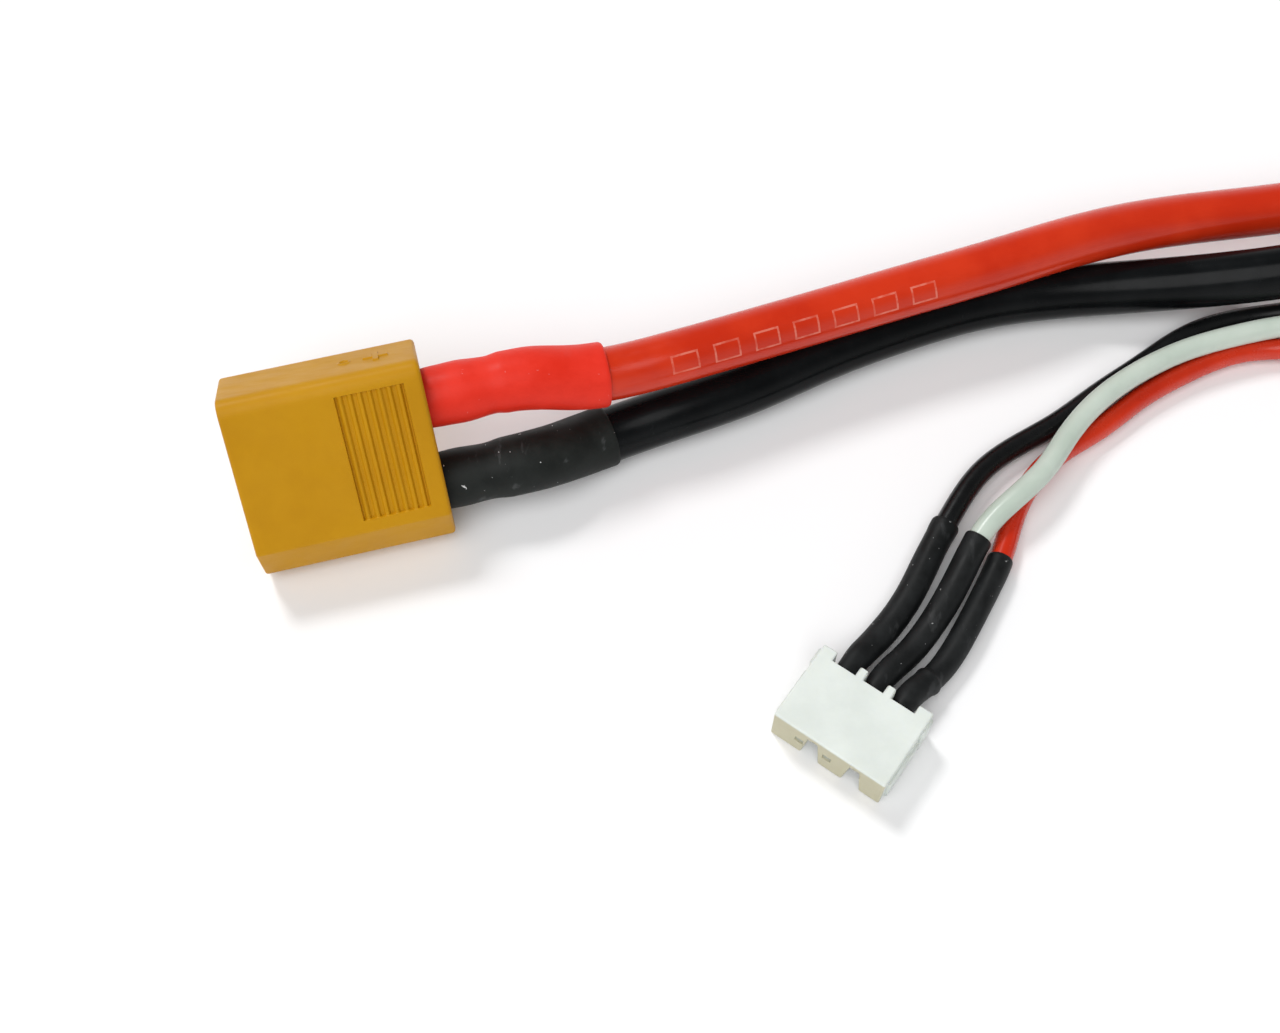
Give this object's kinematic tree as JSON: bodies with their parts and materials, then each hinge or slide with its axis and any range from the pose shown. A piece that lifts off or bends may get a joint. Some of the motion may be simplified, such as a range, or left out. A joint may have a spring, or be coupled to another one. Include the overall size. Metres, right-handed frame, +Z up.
{
  "type": "lithium polymer battery pack",
  "caption": "Flat soft-case lithium polymer battery pack with thick red and black leads to a yellow two-pole power connector, and a thin three-wire balance lead to a white plug.",
  "frame": {"origin": "middle of the pack's underside, on the surface it lies on", "axes": "+X along the pack, from its lead end to its plain end; +Y across it, towards the positive lead; +Z up"},
  "size_m": [0.2116, 0.0617, 0.0166],
  "materials": {
    "wrap": "semi-gloss shrunk film",
    "label": "printed film",
    "foam": "closed-cell foam",
    "pouch": "satin laminate",
    "electrodes": "matte",
    "tape": "foam tape",
    "amber_tape": "translucent film",
    "paper": "fibre paper",
    "tab_aluminium": "rolled",
    "tab_nickel": "rolled",
    "board": "solder resist",
    "solder": "bright",
    "red_silicone": "semi-gloss",
    "black_silicone": "semi-gloss",
    "white_silicone": "satin",
    "copper": "tinned strands",
    "red_shrink": "satin",
    "black_shrink": "matte",
    "amber_nylon": "satin moulded",
    "gold_contact": "gold plated",
    "white_nylon": "moulded",
    "tin_contact": "tin plated"
  },
  "bodies": {
    "root": {"shrink_wrap": "wrap", "label": "label", "front_pad": "foam", "rear_pad": "foam", "cell_pouch_lower": "pouch", "cell_pouch_upper": "pouch", "electrode_stack_lower": "electrodes", "electrode_stack_upper": "electrodes", "cell_tape": "tape", "band_front": "amber_tape", "band_rear": "amber_tape", "tab_guard": "paper", "tab_lower_negative": "tab_nickel", "tab_lower_positive": "tab_aluminium", "tab_upper_positive": "tab_aluminium", "tab_upper_negative": "tab_nickel", "tab_board": "board", "tab_solder": "solder", "lead_solder": "solder", "lead_positive": "red_silicone", "lead_negative": "black_silicone", "strands_positive": "copper", "strands_negative": "copper", "sleeve_positive": "red_shrink", "sleeve_negative": "black_shrink", "connector_housing": "amber_nylon", "contact_positive": "gold_contact", "contact_negative": "gold_contact", "balance_wire_black": "black_silicone", "balance_wire_white": "white_silicone", "balance_wire_red": "red_silicone", "balance_sleeve_black": "black_shrink", "balance_sleeve_white": "black_shrink", "balance_sleeve_red": "black_shrink", "balance_strands": "copper", "plug_housing": "white_nylon", "crimp_terminal_black": "tin_contact", "crimp_terminal_white": "tin_contact", "crimp_terminal_red": "tin_contact"}
  },
  "joints": []
}
